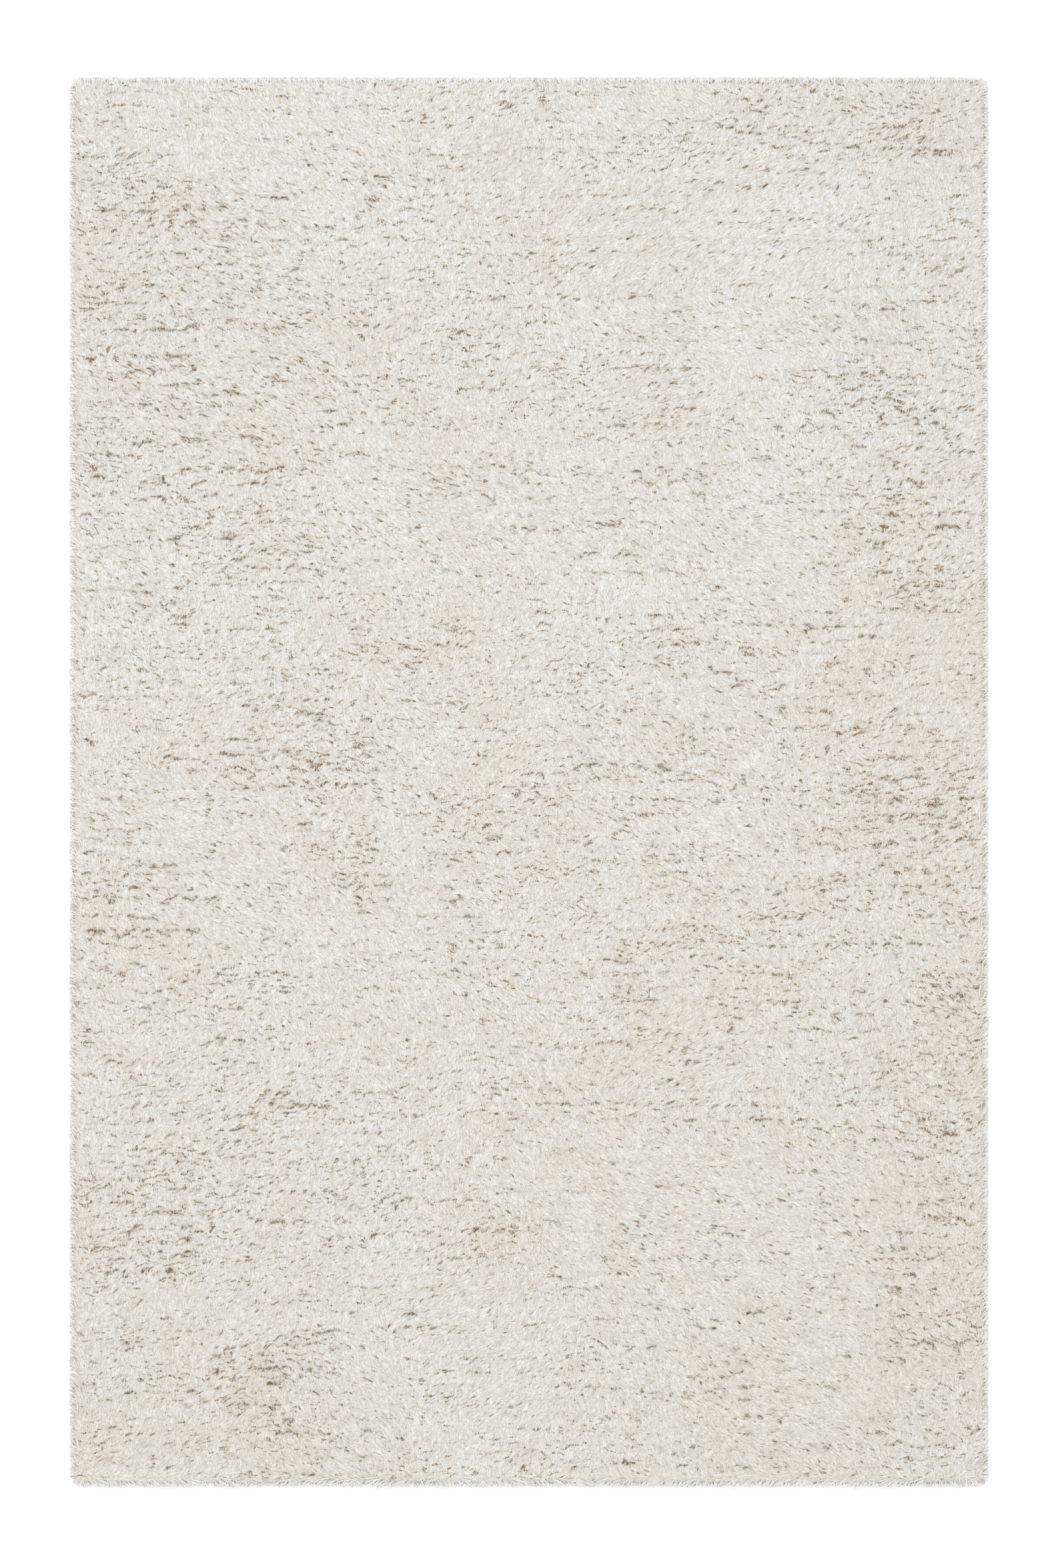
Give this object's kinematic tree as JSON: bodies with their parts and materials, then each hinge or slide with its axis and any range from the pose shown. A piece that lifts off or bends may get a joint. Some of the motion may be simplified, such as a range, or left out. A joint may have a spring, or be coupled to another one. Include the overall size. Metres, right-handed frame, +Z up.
{
  "type": "shag rug",
  "caption": "Rectangular shag rug with a deep cream wool pile on a flat ground cloth, to lie on a floor.",
  "frame": {"origin": "middle of the rug's underside, on the floor", "axes": "+X across the rug, +Y along its long sides towards the top of the picture, +Z up out of the pile"},
  "size_m": [1.31, 2.01, 0.0349],
  "materials": {
    "wool_pile": "matt deep shag pile of felted cream wool yarn"
  },
  "bodies": {
    "root": {"rug": "wool_pile"}
  },
  "joints": []
}
